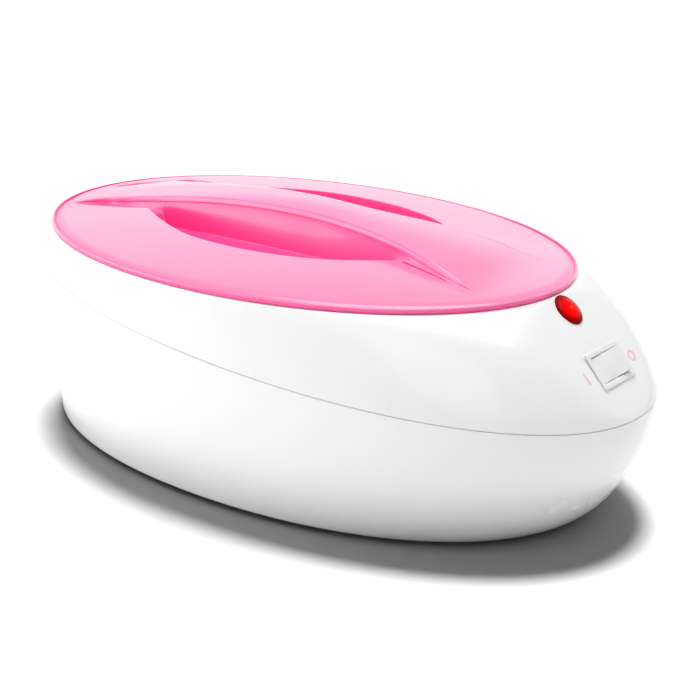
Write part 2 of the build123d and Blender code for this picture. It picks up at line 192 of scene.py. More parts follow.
def frame_at(origin, across, upward, normal):
    """A matrix that takes local mm to mm about the lid's centre."""
    made = np.eye(4)
    made[:3, 0], made[:3, 1], made[:3, 2], made[:3, 3] = across, upward, normal, origin
    return made


def placed(points, local):
    """Local points taken into mm about the lid's centre."""
    points = np.asarray(points, float)
    return points @ local[:3, :3].T + local[:3, 3]


def mix(start, end, share):
    """The value a share of the way from start to end."""
    return start + (end - start) * share


# ------------------------------------------------------------------ housing forms
def egg(front, rear, side, power, height, fall, count=AROUND):
    """Two half superellipses that share their widest line."""
    angle = np.linspace(0, 2 * math.pi, count, endpoint=False)
    along, across = np.cos(angle), np.sin(angle)
    reach = np.where(along > 0, front, rear)
    x = np.sign(along) * reach * np.abs(along) ** (2 / power)
    y = np.sign(across) * side * np.abs(across) ** (2 / power)
    return np.stack([x, y, height - fall * x], 1)


def lower_ring(w, inset=0.0):
    """The lower housing's outline at a share w of the way from the base up to the seam."""
    nose = (1 - (1 - w) ** NOSE_ROUND) ** (1 / NOSE_ROUND)
    return egg(mix(BASE[0], SEAM[0], nose) - inset, mix(BASE[1], SEAM[1], w) - inset,
               mix(BASE[2], SEAM[2], w) - inset, mix(BASE[3], SEAM[3], w),
               FOOT + w * (SEAM_HEIGHT - SEAM_GAP - FOOT), w * SEAM_FALL)


def circle_through(a, b, c):
    """The centre and radius of the circle through three points."""
    rows = np.array([[2 * (b[0] - a[0]), 2 * (b[1] - a[1])], [2 * (c[0] - a[0]), 2 * (c[1] - a[1])]])
    sums = np.array([b[0] ** 2 + b[1] ** 2 - a[0] ** 2 - a[1] ** 2,
                     c[0] ** 2 + c[1] ** 2 - a[0] ** 2 - a[1] ** 2])
    centre = np.linalg.solve(rows, sums)
    return centre, math.hypot(a[0] - centre[0], a[1] - centre[1])


PANEL_CENTRE, PANEL_RADIUS = circle_through(*PANEL)


def onto_panel(points, blend, inset=0.0):
    """Points beyond the panel's arc are drawn back onto it, with a softened edge."""
    radius = PANEL_RADIUS - inset
    dx, dz = points[:, 0] - PANEL_CENTRE[0], points[:, 2] - PANEL_CENTRE[1]
    far = np.hypot(dx, dz)
    near = np.maximum(blend - np.abs(far - radius), 0) / blend
    kept = np.minimum(far, radius) - near * near * blend / 4
    scale = np.where(points[:, 0] > PANEL_ONLY, kept / far, 1.0)
    made = points.copy()
    made[:, 0] = PANEL_CENTRE[0] + dx * scale
    made[:, 2] = PANEL_CENTRE[1] + dz * scale
    return made


def upper_ring(w, inset=0.0):
    """The upper housing's outline at a share w of the way from the seam up to the rim."""
    def roll(power):
        return 1 - (1 - w ** power) ** (1 / power)

    made = egg(mix(SEAM[0], RIM[0], roll(SHOULDER[0])) - inset,
               mix(SEAM[1], RIM[0], roll(SHOULDER[1])) - inset,
               mix(SEAM[2], RIM[1], roll(SHOULDER[2])) - inset, mix(SEAM[3], RIM[2], w),
               mix(SEAM_HEIGHT, LAND_TOP, w), (1 - w) * SEAM_FALL)
    return onto_panel(made, 12.0 * w * (1 - w) + 0.3, inset)


def shifted(ring, dz):
    """The ring moved up."""
    made = ring.copy()
    made[:, 2] += dz
    return made


def inwards(ring, inset):
    """The ring shrunk in plan towards its own middle by about an inset."""
    made = ring.copy()
    size = np.hypot(made[:, 0], made[:, 1])
    made[:, :2] *= ((size - inset) / size)[:, None]
    return made


def seam_lip(ring, up, radius):
    """Three rings that turn an edge over inwards."""
    return [shifted(ring, -up * radius), inwards(shifted(ring, -up * radius * 0.29), radius * 0.29),
            inwards(ring, radius)]


def cutter_rod(radius, low, high, x, y):
    """An upright rod to cut with or to add."""
    return turned("rod", [(radius, low), (radius, high)], x, y)


def hollow_post(radius, bore, low, high, x, y):
    """A screw post with a bore right through it."""
    profile = [(radius, low), (radius, high), (bore, high), (bore, low)]
    rings = [oval(r, r, z, 32, (x, y)) for r, z in profile]
    return loft("post", rings + rings[:1], closed=False)


def lower_shell():
    """The white lower housing, open at the top, with foot recesses and screw wells."""
    edge = 1.4
    height = SEAM_HEIGHT - SEAM_GAP - FOOT
    rings = [lower_ring(0.0, inset) for inset in (101.0, 80.0, 50.0, 20.0, 6.0)]
    for step in range(7):
        turn = math.pi / 2 * step / 6
        rings.append(lower_ring(edge * (1 - math.cos(turn)) / height, edge * (1 - math.sin(turn))))
    for step in range(1, 49):
        rings.append(lower_ring(edge / height + (1 - edge / height) * (step / 49) ** 1.25))
    rings += seam_lip(lower_ring(1.0), 1, 0.35)
    for w in (1.0, 0.85, 0.7, 0.5, 0.3, 0.15, (FLOOR_TOP - FOOT) / height):
        rings.append(lower_ring(w, WALL))
    floor = rings[-1].copy()
    floor[:, 2] = FLOOR_TOP
    rings.append(floor)
    rings += [inwards(floor, inset) for inset in (20.0, 60.0, 98.0)]
    shell = loft("lower_shell", rings)
    tidy(shell)
    combine(shell, gland_hole(), "DIFFERENCE")
    for x, y in FEET:
        combine(shell, cutter_rod(FOOT_SEAT[0], 0, FOOT + FOOT_SEAT[1], x, y), "DIFFERENCE")
    for x, y in POSTS:
        combine(shell, cutter_rod(5.5, FLOOR_TOP - 1, POST_TOP, x, y), "UNION")
        combine(shell, cutter_rod(4.0, 0, 12, x, y), "DIFFERENCE")
        combine(shell, cutter_rod(2.1, 11, 30, x, y), "DIFFERENCE")
    return tidy(shell)


def gland_hole():
    """A level rod through the rear wall, where the cord gland sits."""
    hole = turned("hole", [(GLAND[0], -10), (GLAND[0], 10)])
    there = Matrix.Translation((LID_X - BASE[1] * MM, 0, GLAND[1] * MM))
    level = Matrix.Rotation(math.pi / 2, 4, "Y")
    hole.matrix_world = there @ level @ Matrix.Translation((-LID_X, 0, 0))
    bpy.context.view_layer.update()
    return hole


def upper_rings():
    """The upper housing's skin: shoulder, panel, land under the lid, mouth, and back down inside."""
    seam = upper_ring(0.0)
    rings = list(reversed(seam_lip(seam, -1, 0.35)))
    for step in range(1, 84):
        share = step / 84
        rings.append(upper_ring(1 - (1 - share) ** 1.5))
    top = upper_ring(1.0)
    rings += seam_lip(top, 1, 0.3)
    seat_a, seat_b = RIM[0] - SEAT_INSET, RIM[1] - SEAT_INSET
    mouth_a, mouth_b = RIM[0] - MOUTH_INSET + 0.6, RIM[1] - MOUTH_INSET + 0.6
    rings += [oval(seat_a + 0.3, seat_b + 0.3, LAND_TOP), oval(seat_a, seat_b, LAND_TOP - 0.3)]
    rings += [oval(seat_a, seat_b, SEAT), oval(mouth_a + 0.3, mouth_b + 0.3, SEAT)]
    rings += [oval(mouth_a, mouth_b, SEAT - 0.3), oval(mouth_a, mouth_b, LAND_UNDER)]
    rings.append(inwards(upper_ring(0.93, WALL), 6.0))
    rings[-1][:, 2] = LAND_UNDER
    for w in (0.93, 0.8, 0.6, 0.4, 0.2, 0.08):
        ring = upper_ring(w, WALL)
        ring[:, 2] = np.minimum(ring[:, 2], LAND_UNDER)
        rings.append(ring)
    rings.append(upper_ring(0.0, WALL))
    return rings


def tongue_rings():
    """The rib inside the seam that keeps the two housings in line."""
    near, far = WALL + 0.9, WALL + 2.1
    places = ((near, 2.5), (near, -4.0), (far, -4.0), (far, 2.0))
    return [shifted(upper_ring(0.0, inset), dz) for inset, dz in places]


def upper_shell():
    """The white upper housing with its openings, screw posts and rib."""
    rings, tongue = upper_rings(), tongue_rings()
    shell = tidy(loft("upper_shell", rings + rings[:1], closed=False))
    rib = tidy(loft("rib", tongue + tongue[:1], closed=False))
    combine(shell, placed_box(CASE[0] + 0.6, CASE[1] + 0.6, -9, 9, SWITCH), "DIFFERENCE")
    combine(shell, lens_column(LENS[0] + 0.3, LENS[1] - 0.9, -7, 7), "DIFFERENCE")
    for x, y in POSTS:
        post = hollow_post(4.5, 1.75, POST_TOP + POST_GAP, LAND_UNDER + 0.2, x, y)
        merge(shell, [tidy(post)])
    merge(shell, [rib])
    return tidy(shell)


# ------------------------------------------------------------------ lid
# Half widths and heights of the lid's strap, grooves and pockets along x, as few points as the
# curves need. Those with FAR in the name are for the far side of the strap's rear end.
CORNERS = (-84.5, 86.5)
POCKET_ENDS = (5.0, 14.0)
LIP = [(-150.0, 42.0), (-118.0, 40.8), (-84.5, 34.2), (-63.0, 46.3), (-30.0, 59.5), (0.0, 62.5),
       (30.0, 59.0), (64.0, 45.0), (86.5, 26.4), (122.0, 32.0), (150.0, 35.0)]
STRAP = [(-150.0, 41.0), (-140.0, 39.5), (-130.0, 31.5), (-115.0, 27.3), (-80.0, 22.3), (-45.0, 19.0),
         (0.0, 16.7), (40.0, 16.3), (80.0, 22.5), (120.0, 30.7), (150.0, 34.0)]
ARCH = [(-165.0, 114.0), (-140.0, 121.3), (-90.0, 130.0), (-40.0, 136.0), (0.0, 138.0), (40.0, 137.0),
        (90.0, 133.0), (112.0, 129.0), (140.0, 120.5), (165.0, 112.0)]
CROWN = [(-165.0, 1.2), (-90.0, 2.7), (0.0, 3.5), (90.0, 2.9), (140.0, 1.6), (165.0, 1.2)]
DEPTH = [(-150.0, 0.0), (-140.0, 0.3), (-126.0, 2.2), (-85.0, 4.6), (86.0, 2.4), (139.0, 0.1),
         (150.0, 0.0)]
GAP = 0.9
FAR_LIP = [(-151.5, 1.0), (-147.5, 11.5), (-140.0, 22.0), (-133.0, 32.0), (-126.0, 38.5), (-118.0, 40.9)]
FAR_DEPTH = [(-151.5, 0.3), (-149.0, 1.6), (-142.0, 2.6), (-110.0, 3.4)]
FAR_GAP, FAR_DEEP = 9.0, -100.0
STRAP_BLEND, STRAP_ROUND = 2.6, 1.7
STRAP_STEPS, DOME_STEPS, BEND_STEPS = 16, 22, 4
UNDER_THICK, ROOF_THICK = 2.3, 2.4


def curve_at(table, x):
    """A smooth curve through a short table of points, by local cubic pieces."""
    xs, ys = np.array(table).T
    slope = np.gradient(ys, xs)
    i = np.clip(np.searchsorted(xs, x) - 1, 0, len(xs) - 2)
    span = xs[i + 1] - xs[i]
    t = (x - xs[i]) / span
    h00, h10 = 2 * t ** 3 - 3 * t ** 2 + 1, t ** 3 - 2 * t ** 2 + t
    h01, h11 = -2 * t ** 3 + 3 * t ** 2, t ** 3 - t ** 2
    return h00 * ys[i] + h10 * span * slope[i] + h01 * ys[i + 1] + h11 * span * slope[i + 1]


def split_curve(table, x, corners):
    """curve_at, but broken at the corners so that they stay crisp."""
    marks = [-1e9, *corners, 1e9]
    for low, high in zip(marks, marks[1:]):
        if low <= x <= high:
            part = [p for p in table if low <= p[0] <= high]
            return float(curve_at(part, x))
    return 0.0


DOME_RADIUS = (RIM[1] ** 2 + DOME_RISE ** 2) / (2 * DOME_RISE)
DOME_TOP = RIM_HEIGHT + LID_EDGE + DOME_RISE


def dome(x, y):
    """The height of the lid's plain dome."""
    square = (x * RIM[1] / RIM[0]) ** 2 + y * y
    return DOME_TOP - DOME_RADIUS + np.sqrt(DOME_RADIUS ** 2 - square)


def rim_drop(x, y):
    """How far the dome's outer band turns down to meet the small step at the rim."""
    a, b = RIM[0] - DOME_INSET, RIM[1] - DOME_INSET
    out = np.hypot(x / a, y / b)
    return 1.25 * np.clip((out - 0.962) / 0.038, 0, 1) ** 2


def skin(x, y):
    """The dome with its outer band turned down."""
    return dome(x, y) - rim_drop(x, y)


def far_rim_painted_shade(x, out):
    """A deep pink line painted along the far rim where it is seen edge on: painted shade."""
    along = np.interp(x, (-152, -140, 40, 110), (0, 1, 0.9, 0))
    return float(along * np.clip((out - 0.86) / 0.07, 0, 1))


def soft_max(a, b, blend):
    """The larger of two values, rounded over where they are close."""
    near = np.maximum(blend - np.abs(a - b), 0) / blend
    return np.maximum(a, b) + near * near * blend / 4


def rounded(keys, radii, steps):
    """A polyline whose inner corners are short curves; every corner gives the same count."""
    made = [keys[0]]
    for before, corner, after, radius in zip(keys, keys[1:], keys[2:], radii):
        a, c = before - corner, after - corner
        la, lc = np.hypot(*a), np.hypot(*c)
        reach = min(radius, 0.45 * la, 0.45 * lc)
        start, end = corner + a / max(la, 1e-9) * reach, corner + c / max(lc, 1e-9) * reach
        for step in range(steps + 1):
            t = step / steps
            made.append((1 - t) ** 2 * start + 2 * t * (1 - t) * corner + t * t * end)
    made.append(keys[-1])
    return made


def pocket_share(x):
    """1 over the finger pockets, 0 over the grooves beyond them, with a sloping end between."""
    left = np.clip((x - CORNERS[0]) / POCKET_ENDS[0], 0, 1)
    right = np.clip((CORNERS[1] - x) / POCKET_ENDS[1], 0, 1)
    share = min(left, right)
    return share * share * (3 - 2 * share)


def strap_height(x, y, edge):
    """The strap's crowned top, merging with the dome at its ends."""
    body = float(curve_at(ARCH, x)) + float(curve_at(CROWN, x)) * (1 - (y / edge) ** 2)
    return float(soft_max(skin(x, y), body, STRAP_BLEND))


def groove(x, reach, far):
    """The groove or pocket at x: its outer lip, the strap's edge, and its depth."""
    lip = split_curve(LIP, x, CORNERS)
    depth = float(np.interp(x, *np.array(DEPTH).T))
    if far and FAR_LIP[0][0] < x < FAR_LIP[-1][0]:
        lip = float(curve_at(FAR_LIP, x))
        depth = float(np.interp(x, *np.array(FAR_DEPTH).T))
    gap = FAR_GAP if far and x < FAR_LIP[-1][0] else GAP
    edge = max(min(float(curve_at(STRAP, x)), lip - gap), min(0.5 * lip, 2.0))
    if reach <= lip + 0.6:
        lip, edge, depth = reach * 0.9, reach * 0.8, 0.0
    return lip, edge, depth


def wall_feet(edge, lip, tall, drop, share):
    """Where the strap's wall and the outer wall meet the groove's floor."""
    foot = edge + mix(0.13, 0.17, share) * tall
    outer_foot = lip - mix(0.25, 0.10, share) * drop - 0.2
    if outer_foot - foot < 0.3:
        middle = (edge + lip) / 2
        foot, outer_foot = middle - 0.12, middle + 0.12
    return foot, outer_foot


def wall_warmth(deep, wall, outer):
    """The painted shade at each point of the rounded section, key by key: a dark painted line at the strap's
    edge, a pale painted highlight on the bead below it, and deep pink painted down the walls and into the
    groove as painted shade.
    """
    painted_shades = [0.0]
    painted_shades += [0.45 * deep] * 5 + [0.05 * deep] * 5
    painted_shades += [part * deep for part in (0.05, 0.05, 0.15, 0.3, 0.38)]
    painted_shades += [part * deep for part in (0.38, 0.38, 0.2, 0.15, 0.7)]
    painted_shades += [0.8 * wall] * 5 + [0.85 * wall] * 5 + [outer] * 5
    painted_shades += [outer * part for part in (0.6, 0.5, 0.35, 0.15, 0.0)] + [0.0]
    return painted_shades


def column(x, reach, far=False):
    """Half of the lid's section at x, from the middle out to reach: rows of y, z, and the painted shade
    value.
    """
    lip, edge, depth = groove(x, reach, far)
    share = pocket_share(x)
    inner = edge - min(STRAP_ROUND, 0.4 * edge)
    rows = []
    for step in range(STRAP_STEPS):
        y = inner * step / STRAP_STEPS
        rows.append((y, strap_height(x, y, edge), 0.0))
    edge_z = strap_height(x, edge, edge)
    lip_z = float(skin(x, lip))
    bottom = min(mix(lip_z - depth, POCKET_FLOOR, share), edge_z - 0.02)
    tall = edge_z - bottom
    foot, outer_foot = wall_feet(edge, lip, tall, lip_z - bottom, share)
    band = min(2.2, tall * 0.4)
    line = min(0.45, tall * 0.2)
    nick = 0.3 * min(1.0, tall * 0.3)
    crease = edge + (foot - edge) * band / max(tall, 1e-3)
    shoulder = lip + min(3.0, (reach - lip) * 0.3)
    keys = [
        (inner, strap_height(x, inner, edge)),
        (mix(inner, edge, 0.3), strap_height(x, mix(inner, edge, 0.3), edge) - line),
        (mix(inner, edge, 0.5), strap_height(x, mix(inner, edge, 0.5), edge)),
        (edge, edge_z),
        (crease, edge_z - band),
        (crease - nick, edge_z - band - nick),
        (foot, bottom),
        (outer_foot, bottom),
        (lip, lip_z),
        (shoulder, float(skin(x, shoulder))),
    ]
    cut = max(share, min(1.0, depth / 0.9))
    keys = [np.array((y, mix(strap_height(x, y, edge), z, cut))) for y, z in keys]
    curve = rounded(keys, [0.25, 0.25, 0.6, 0.25, 0.25, 1.0, 1.0, 0.6], BEND_STEPS)
    # How much painted shade the walls get, more in deeper grooves; the far groove at the rear end gets it in
    # full.
    deep = min(1.0, tall / 6.0)
    wall = min(1.0, tall / 3.5) * mix(0.75, 1.0, min(1.0, 5 * share))
    if far and x < FAR_DEEP:
        deep, wall = 1.0, 1.0
    painted_shades = wall_warmth(deep, wall, 1.0 if lip_z - bottom > 0.25 else 0.0)
    rows += [(float(y), float(z), warm) for (y, z), warm in zip(curve, painted_shades)]
    for step in range(1, DOME_STEPS + 1):
        out = step / DOME_STEPS
        y = mix(shoulder, reach, out)
        rows.append((y, float(skin(x, y)), far_rim_painted_shade(x, out) if far else 0.0))
    return rows


def stations():
    """Places along x for the lid's columns, closer together at the pockets' ends and the tips."""
    a = RIM[0] - DOME_INSET
    plain = a * np.cos(np.linspace(0, math.pi, 150))[1:-1]
    extra = []
    for corner in CORNERS:
        extra.append(corner + np.linspace(-6, 6, 25))
        extra.append(corner + np.linspace(-22, 22, 23))
    made = np.sort(np.concatenate([plain, *extra]))
    keep = [made[0]]
    for x in made[1:]:
        if x - keep[-1] > 0.28:
            keep.append(x)
    return np.array(keep)


class Skin:
    """The points, painted shade values and faces of one closed mesh, added row by row."""

    def __init__(self):
        self.points, self.warmth, self.faces = [], [], []

    def add(self, rows):
        """Adds rows of x, y, z and painted shade value, and gives their point numbers."""
        start = len(self.points)
        for x, y, z, warm in rows:
            self.points.append((x, y, z))
            self.warmth.append(warm)
        return list(range(start, start + len(rows)))

    def join(self, first, second):
        """Faces between two loops with equal counts."""
        for i in range(len(first)):
            j = (i + 1) % len(first)
            self.faces.append((first[i], second[i], second[j], first[j]))

    def sheet(self, strips, low, high, upward):
        """Faces between open strips side by side, and fans to a tip at either end."""
        for left, right in zip(strips, strips[1:]):
            for i in range(len(left) - 1):
                face = (left[i], right[i], right[i + 1], left[i + 1])
                self.faces.append(face if upward else (face[0], face[3], face[2], face[1]))
        for tip, side, turned_over in ((low, strips[0], not upward), (high, strips[-1], upward)):
            for i in range(len(side) - 1):
                pair = (side[i + 1], side[i]) if turned_over else (side[i], side[i + 1])
                self.faces.append((tip, *pair))


def rim_steps(skirt, roof):
    """The lid's edge from the dome out, under and down the skirt: inset, height, and painted shade value,
    high on the rim's band and underside for a painted deep pink shade and glow.
    """
    under = RIM_HEIGHT
    foot = under - SKIRT_DROP
    return [
        (DOME_INSET - 0.12, DOME_EDGE - 0.35, 0.9), (DOME_INSET - 0.38, DOME_EDGE - 0.4, 1.0),
        (DOME_INSET - 0.5, DOME_EDGE, 1.0), (DOME_INSET - 0.62, under + 2.3, 1.0),
        (0.92, under + 2.52, 0.6), (0.6, under + 2.6, 0.1), (0.25, under + 2.48, 0.02),
        (0.06, under + 2.2, 0.1), (0.0, under + 1.8, 0.3), (0.0, under + 1.0, 0.45),
        (0.0, under + 0.6, 0.8), (0.1, under + 0.25, 1.0), (0.45, under, 1.0), (1.2, under, 1.0),
        (4.0, under, 1.0), (4.3, under + 0.2, 0.8), (6.0, under + 0.8, 0.6), (10.0, under + 1.4, 0.5),
        (skirt[0], roof, 0.5), (skirt[0], foot + 0.3, 0.5), (skirt[0] + 0.3, foot, 0.5),
        (skirt[1] - 0.3, foot, 0.5), (skirt[1], foot + 0.3, 0.5),
    ]


def rim_loop(angles, inset, z, warm):
    """One loop round the lid's edge; on the bead's inner side the deep pink is faded towards the nose, a
    painted highlight.
    """
    rows = []
    for t in angles:
        painted_paling = 1 - 0.6 * max(0.0, math.cos(t)) ** 0.5 if 0.6 < inset < 2.0 else 1.0
        rows.append(((RIM[0] - inset) * math.cos(t), (RIM[1] - inset) * math.sin(t), z, warm * painted_paling))
    return rows


def under_strip(x, reach, roof):
    """The underside at x: the top's section moved in by the lid's thickness."""
    half = column(x, 200.0) if reach > 60 else column(x, max(reach + 16, 46.0))
    ys, zs = np.array([(y, z) for y, z, _ in half]).T
    keep = np.concatenate([[True], np.diff(np.maximum.accumulate(ys)) > 1e-6])
    ys, zs = ys[keep], zs[keep]
    places = np.linspace(-1, 1, 91) * reach
    window = np.linspace(-UNDER_THICK, UNDER_THICK, 15)
    fall = np.sqrt(np.maximum(UNDER_THICK ** 2 - window ** 2, 0))
    samples = np.interp(np.abs(places[:, None] + window[None, :]), ys, zs) - fall[None, :]
    heights = samples.min(1)
    heights[0] = heights[-1] = roof
    return [(x, y, z, 0.5) for y, z in zip(places, heights)]


def lid_mesh():
    """The lid as one closed skin: columns across the top, rings round the rim, columns beneath."""
    made = Skin()
    a, b = RIM[0] - DOME_INSET, RIM[1] - DOME_INSET
    xs = stations()
    turns = np.arccos(np.clip(xs / a, -1, 1))
    top = []
    for x, turn in zip(xs, turns):
        reach = b * math.sin(turn)
        near = [(x, -y, z, w) for y, z, w in reversed(column(float(x), reach)[1:])]
        far = [(x, y, z, w) for y, z, w in column(float(x), reach, far=True)]
        top.append(made.add(near + far))
    tip_z = float(skin(a, 0))
    low, high = made.add([(-a, 0, tip_z, 0), (a, 0, tip_z, 0)])
    made.sheet(top, low, high, upward=True)
    loop = [high] + [strip[-1] for strip in reversed(top)] + [low] + [strip[0] for strip in top]
    angles = [0.0] + list(turns[::-1]) + [math.pi] + list(-turns)
    skirt = (MOUTH_INSET + SKIRT_INSET, MOUTH_INSET + SKIRT_INSET + SKIRT_THICK)
    roof_outer, roof_inner = (float(dome(RIM[0] - inset, 0)) - ROOF_THICK for inset in skirt)
    for inset, z, warm in rim_steps(skirt, roof_outer):
        following = made.add(rim_loop(angles, inset, z, warm))
        made.join(loop, following)
        loop = following
    a, b = RIM[0] - skirt[1], RIM[1] - skirt[1]
    under = []
    for turn in turns:
        under.append(made.add(under_strip(float(a * math.cos(turn)), b * math.sin(turn), roof_inner)))
    low, high = made.add([(-a, 0, roof_inner, 0.5), (a, 0, roof_inner, 0.5)])
    made.sheet(under, low, high, upward=False)
    made.join(loop, [high] + [strip[-1] for strip in reversed(under)] + [low] + [strip[0] for strip in under])
    piece = mesh_from("lid_shell", made.points, made.faces)
    # The per-point value of painted shade and glow that the pink material reads: deep pink painted into the
    # pockets, grooves and the rim's band, glowing where it is highest.
    layer = piece.data.attributes.new("warmth", "FLOAT", "POINT")
    layer.data.foreach_set("value", np.array(made.warmth, np.float32))
    return tidy(piece, 50)


# ------------------------------------------------------------------ panel frames
def switch_frame():
    """The switch's own frame on the panel: x across, y up the slope, z out."""
    s, lift = SWITCH_SLOPE, SWITCH_LIFT
    middle = PANEL[1]
    origin = (middle[0] + lift * math.sin(s), 0, middle[1] + lift * math.cos(s))
    return frame_at(origin, (0, 1, 0), (-math.cos(s), 0, math.sin(s)), (math.sin(s), 0, math.cos(s)))


def panel_frame(down, across=0.0):
    """A frame on the panel's arc, a distance down from its top: x across, y up the slope."""
    start = math.atan2(PANEL[2][1] - PANEL_CENTRE[1], PANEL[2][0] - PANEL_CENTRE[0])
    turn = start - down / PANEL_RADIUS
    normal = (math.cos(turn), 0, math.sin(turn))
    x = PANEL_CENTRE[0] + PANEL_RADIUS * normal[0]
    origin = (x, across, PANEL_CENTRE[1] + PANEL_RADIUS * normal[2])
    return frame_at(origin, (0, 1, 0), (-normal[2], 0, normal[0]), normal)


SWITCH = switch_frame()
LAMP = panel_frame(LAMP_DOWN)


def rounded_loop(width, height, corner, z, steps=6):
    """A rounded rectangle in local mm."""
    made = []
    for turn, (sx, sy) in enumerate(((1, 1), (-1, 1), (-1, -1), (1, -1))):
        cx, cy = sx * (width / 2 - corner), sy * (height / 2 - corner)
        for step in range(steps + 1):
            angle = math.pi / 2 * (turn + step / steps)
            made.append((cx + corner * math.cos(angle), cy + corner * math.sin(angle), z))
    return np.array(made)


def placed_box(width, height, low, high, local):
    """A box to cut with, standing in a local frame."""
    rings = [placed(rounded_loop(width, height, 0.6, z), local) for z in (low, high)]
    return tidy(loft("cutter", rings))


def lens_column(a, b, low, high):
    """An oval rod to cut with, standing in the lamp's frame."""
    rings = [placed(oval(a, b, z, 72), LAMP) for z in (low, high)]
    return tidy(loft("cutter", rings))


def switch_case():
    """The switch's bezel and case, open at the top for the rocker."""
    bx, by, thick = BEZEL
    cx, cy, deep = CASE
    hole_x, hole_y = KEY[0] + KEY_GAP, KEY[1] + KEY_GAP
    shape = [(cx, cy, 0.8, -deep), (cx, cy, 0.8, 0.0), (bx - 0.3, by - 0.3, 1.3, 0.0),
             (bx, by, 1.4, 0.25), (bx, by, 1.4, thick - 0.4), (bx - 0.2, by - 0.2, 1.3, thick - 0.12),
             (bx - 0.7, by - 0.7, 1.1, thick), (hole_x + 0.9, hole_y + 0.9, 0.7, thick),
             (hole_x + 0.5, hole_y + 0.5, 0.6, thick - 0.1), (hole_x, hole_y, 0.5, thick - 0.6),
             (hole_x, hole_y, 0.5, -13.0)]
    rings = [placed(rounded_loop(w, h, corner, z), SWITCH) for w, h, corner, z in shape]
    piece = loft("switch_case", rings)
    return tidy(piece, 60)


def rocker_profile():
    """The rocker's side in local mm: x along the key and z out of the panel."""
    reach, tip, hollow, low = KEY[0] / 2, 2.0, 1.1, -6.0
    made = []
    top_angle = math.asin((tip - 0.35 - PIVOT) / reach)
    low_angle = math.asin((low - PIVOT) / reach)
    for step in range(9):
        angle = mix(low_angle, top_angle, step / 8)
        made.append((reach * math.cos(angle), PIVOT + reach * math.sin(angle)))
    edge = made[-1][0]
    made += [(edge - 0.12, tip - 0.1), (edge - 0.4, tip)]
    for step in range(1, 20):
        share = 1 - 2 * step / 20
        made.append(((edge - 0.4) * share, hollow + (tip - hollow) * abs(share) ** 2))
    made += [(-edge + 0.4, tip), (-edge + 0.12, tip - 0.1)]
    return made + [(-x, z) for x, z in reversed(made[:9])]


def rocker():
    """The rocker key with its -Y end pressed in, edges softened, and its pin."""
    half = KEY[1] / 2
    profile = np.array(rocker_profile())
    middle = np.array([0.0, -1.0])
    rings = []
    for y, shrink in ((-half, 0.4), (-half + 0.1, 0.14), (-half + 0.4, 0.0), (0.0, 0.0),
                      (half - 0.4, 0.0), (half - 0.1, 0.14), (half, 0.4)):
        away = profile - middle
        size = np.hypot(away[:, 0], away[:, 1])
        moved = middle + away * ((size - shrink) / size)[:, None]
        rings.append(np.column_stack([moved[:, 0], np.full(len(moved), y), moved[:, 1]]))
    c, s = math.cos(KEY_TILT), math.sin(KEY_TILT)
    tilted = []
    for ring in rings:
        x, z = ring[:, 0], ring[:, 2] - PIVOT
        tilted.append(np.column_stack([x * c - z * s, ring[:, 1], x * s + z * c + PIVOT]))
    piece = tidy(loft("rocker_key", [placed(ring, SWITCH) for ring in tilted]), 30)
    angle = np.linspace(0, 2 * math.pi, 32, endpoint=False)
    pin = []
    for y in (-half - 1.0, half + 1.0):
        x, z = PIN_RADIUS * np.cos(angle), PIVOT + PIN_RADIUS * np.sin(angle)
        pin.append(np.column_stack([x, np.full(32, y), z]))
    return tidy(merge(piece, [loft("pin", [placed(ring, SWITCH) for ring in pin])]), 30)


def lamp_lens():
    """The red lens: a low rim, a step, and a domed window."""
    a, b, proud = LENS
    shape = [(2.6, -0.9), (2.6, -6.9), (1.1, -6.9), (1.1, -0.05), (0.12, 0.0), (0.0, 0.3), (0.1, 0.75),
             (0.45, 1.05), (0.8, 1.1), (0.95, 1.0)]
    rings = [placed(oval(a - inset, b - inset, z, 96), LAMP) for inset, z in shape]
    for step in range(14):
        share = math.cos(math.pi / 2 * (step + 1) / 15)
        z = 1.0 + (proud - 1.0) * (1 - share ** 2) ** 0.8
        rings.append(placed(oval((a - 1.0) * share, (b - 1.0) * share, z, 96), LAMP))
    return tidy(loft("lens_cap", rings), 40)


def on_drum(outline, down, across, level):
    """An outline laid on the panel's curve, at a level above it."""
    made = []
    for u, v in outline:
        local = panel_frame(down - v, across + u)
        made.append(local[:3, 3] + local[:3, 2] * level)
    return np.array(made)


def panel_angle(point):
    """The angle of a point of the panel's section about the panel's centre."""
    return math.atan2(point[1] - PANEL_CENTRE[1], point[0] - PANEL_CENTRE[0])


def marks():
    """A bar by the rocker's on side and a ring by its off side, printed on the panel's curve."""
    down = PANEL_RADIUS * (panel_angle(PANEL[2]) - panel_angle(PANEL[1])) + MARK_DOWN
    sink, thick = MARK_LEVELS
    width, height = BAR
    corners = [(p[0], p[1]) for p in rounded_loop(width, height, width * 0.49, 0, 5)]
    bar = tidy(loft("mark_bar", [on_drum(corners, down, -MARK_REACH, level) for level in MARK_LEVELS]))
    turns = np.linspace(0, 2 * math.pi, 40, endpoint=False)
    outer, inner = ([(r * math.cos(t), r * math.sin(t)) for t in turns] for r in RING)
    levels = []
    for outline, level in ((outer, sink), (outer, thick), (inner, thick), (inner, sink)):
        levels.append(on_drum(outline, down, MARK_REACH, level))
    ring = tidy(loft("mark_ring", levels + levels[:1], closed=False))
    return bar, ring


# ------------------------------------------------------------------ materials
def new_material(name):
    """A node material with its tree's nodes, its links and its shader."""
    made = bpy.data.materials.new(name)
    made.use_nodes = True
    nodes, links = made.node_tree.nodes, made.node_tree.links
    return made, nodes, links, nodes["Principled BSDF"]


def linked_mix(nodes, links, factor, first):
    """A colour mix with its factor and first colour linked."""
    made = nodes.new("ShaderNodeMix")
    made.data_type = "RGBA"
    links.new(factor, made.inputs["Factor"])
    links.new(first, made.inputs["A"])
    return made


